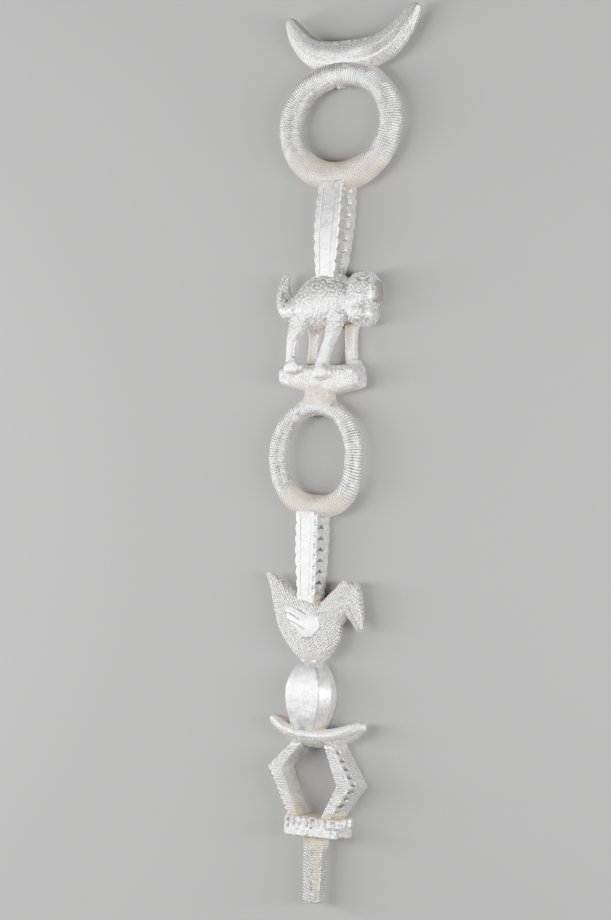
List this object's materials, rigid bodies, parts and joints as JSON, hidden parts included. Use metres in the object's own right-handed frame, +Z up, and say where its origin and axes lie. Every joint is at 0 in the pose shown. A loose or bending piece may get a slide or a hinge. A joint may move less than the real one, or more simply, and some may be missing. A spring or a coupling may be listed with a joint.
{
  "type": "ceremonial staff",
  "caption": "Carved ceremonial staff in silver leaf: grip, open frame, crescent, disc, bird, shaft, ring, leopard on a plate, shaft, ring and horns in one line.",
  "frame": {"origin": "on the floor, under the middle of the staff as it lies on its back", "axes": "+Y runs from the grip to the horns, +X toward the side that the bird and the leopard face, +Z up, out of the carved front"},
  "size_m": [0.1842, 0.992, 0.0397],
  "materials": {
    "silver_leaf": "silver leaf over carved wood, semi-matt, with tan wear in the hollows"
  },
  "bodies": {
    "root": {"staff": "silver_leaf"}
  },
  "joints": []
}
